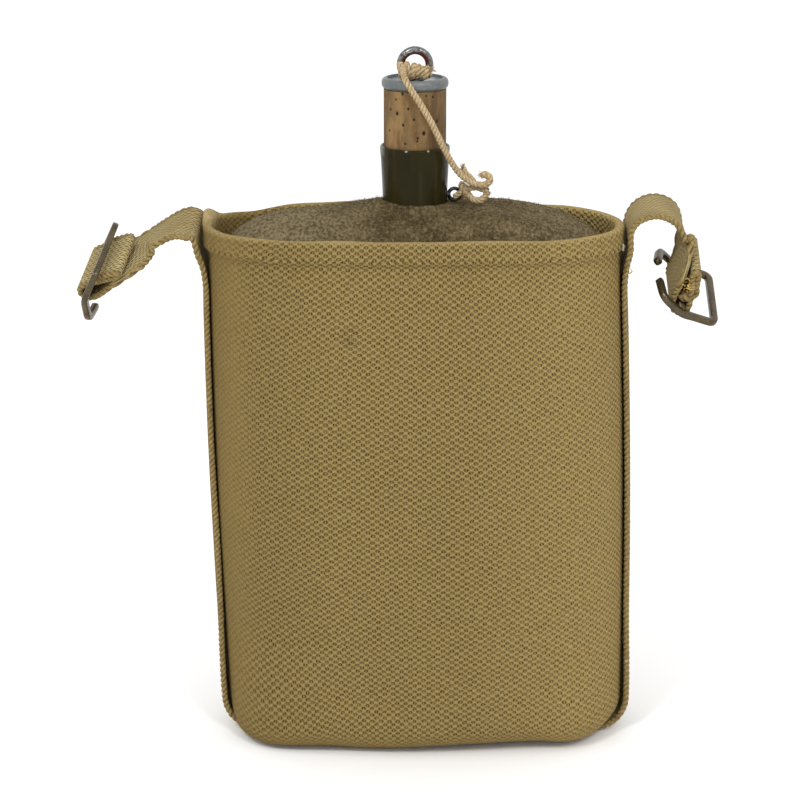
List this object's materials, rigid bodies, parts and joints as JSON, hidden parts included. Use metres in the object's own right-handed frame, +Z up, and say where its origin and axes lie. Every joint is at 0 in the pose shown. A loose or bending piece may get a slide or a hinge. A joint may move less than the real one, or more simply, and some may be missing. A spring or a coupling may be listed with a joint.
{
  "type": "military canteen",
  "caption": "Felt-covered enamelled water bottle with a corked neck, standing in a webbing sleeve whose side strap ends in hooked buckles.",
  "frame": {"origin": "on the ground under the middle of the neck, on the underside of the strap", "axes": "+X to the viewer's right along the wide side, +Y away from the viewer, +Z up along the neck"},
  "size_m": [0.2591, 0.0876, 0.2865],
  "materials": {
    "enamel": "glossy enamel",
    "felt": "fuzzy felt",
    "cork": "natural cork",
    "zinc": "dull zinc",
    "steel": "tarnished, with rust",
    "cord": "twisted cotton",
    "webbing": "coarse cotton weave",
    "bronze": "dark tarnished brass"
  },
  "bodies": {
    "carrier": {"carrier_panel": "webbing", "side_strap": "webbing", "bottle": "enamel", "neck_lug": "steel", "felt_cover": "felt", "lug_knot": "cord"},
    "stopper": {"stopper_cork": "cork", "stopper_cap": "zinc", "stopper_pin": "steel", "stopper_washer": "steel", "ring_knot": "cord", "tether_cord": "cord"},
    "left_buckle": {"left_buckle": "bronze"},
    "right_buckle": {"right_buckle": "bronze"}
  },
  "joints": [
    {"name": "stopper_lift", "type": "slide", "parent": "carrier", "child": "stopper", "axis": [0, 0, 1], "range_m": [0, 0.024], "deforming": ["tether_cord"]},
    {"name": "left_buckle_swing", "type": "hinge", "parent": "carrier", "child": "left_buckle", "pos_m": [-0.1294, -0.0006, 0.1949], "axis": [-0.188, -0.8529, -0.487], "range_deg": [-4, 85]},
    {"name": "right_buckle_swing", "type": "hinge", "parent": "carrier", "child": "right_buckle", "pos_m": [0.107, -0.0004, 0.188], "axis": [-0.017, -0.9176, -0.3972], "range_deg": [-16, 60]}
  ]
}
